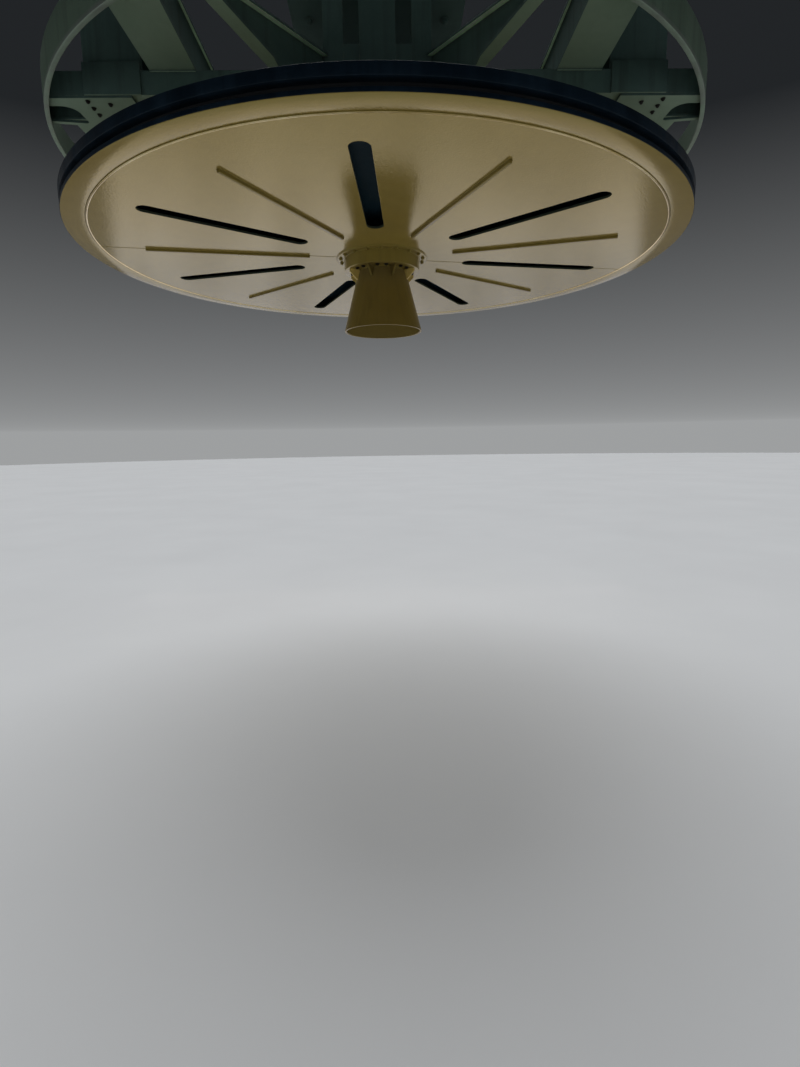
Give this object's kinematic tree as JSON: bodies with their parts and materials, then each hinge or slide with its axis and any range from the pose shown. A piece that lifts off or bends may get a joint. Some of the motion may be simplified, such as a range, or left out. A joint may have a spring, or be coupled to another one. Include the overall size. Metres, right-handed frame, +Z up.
{
  "type": "ropeway bullwheel with hanging frame",
  "caption": "Horizontal return wheel of a cable car, with slotted disc, black rope groove and cone hub, hung from a painted steel frame with a curved carriage rail.",
  "frame": {"origin": "centre of the head plate's top face, where the frame is bolted up", "axes": "+Z up along the wheel's axis, +X across the station, -Y towards the boarding side with the curved rail"},
  "size_m": [3.68, 3.6517, 1.755],
  "materials": {
    "wheel_paint": "worn semi-gloss ochre yellow",
    "wheel_dark": "matt dark primer, dusty",
    "rim_black": "greasy black",
    "groove_lining": "worn rubber",
    "frame_paint": "satin pale green, dusty",
    "machined_steel": "oiled"
  },
  "bodies": {
    "frame": {"arm_left": "frame_paint", "arm_right": "frame_paint", "carrier_base": "frame_paint", "carrier_front_plate": "frame_paint", "carrier_lid": "frame_paint", "carrier_posts_front": "frame_paint", "carrier_posts_rear": "frame_paint", "carrier_rear_plate": "frame_paint", "carrier_side_plates": "frame_paint", "corner_posts": "frame_paint", "cross_beams": "frame_paint", "end_plate_left": "frame_paint", "end_plate_right": "frame_paint", "front_girder": "frame_paint", "head_pads": "frame_paint", "head_plate": "frame_paint", "long_beam_left": "frame_paint", "long_beam_right": "frame_paint", "post_ties": "frame_paint", "rail_section_1": "frame_paint", "rail_section_2": "frame_paint", "rail_section_3": "frame_paint", "rail_section_4": "frame_paint", "rail_splices": "frame_paint", "rail_tail_left": "frame_paint", "rail_tail_right": "frame_paint", "rear_girder": "frame_paint", "shaft": "machined_steel", "shaft_collar": "machined_steel"},
    "wheel": {"bearing_cover": "machined_steel", "cone_cap": "wheel_paint", "cone_gussets": "wheel_paint", "cone_shell": "wheel_paint", "hub_barrel": "wheel_paint", "hub_doublers": "wheel_paint", "lower_disc": "wheel_paint", "radial_webs": "wheel_paint", "rim_core": "wheel_dark", "rim_lower_flange": "wheel_paint", "rim_upper_flange": "rim_black", "rope_lining": "groove_lining", "upper_disc": "wheel_dark"}
  },
  "joints": [
    {"name": "wheel_spin", "type": "hinge", "parent": "frame", "child": "wheel", "pos_m": [0, 0, -1.3], "axis": [0, 0, 1], "continuous": true}
  ]
}
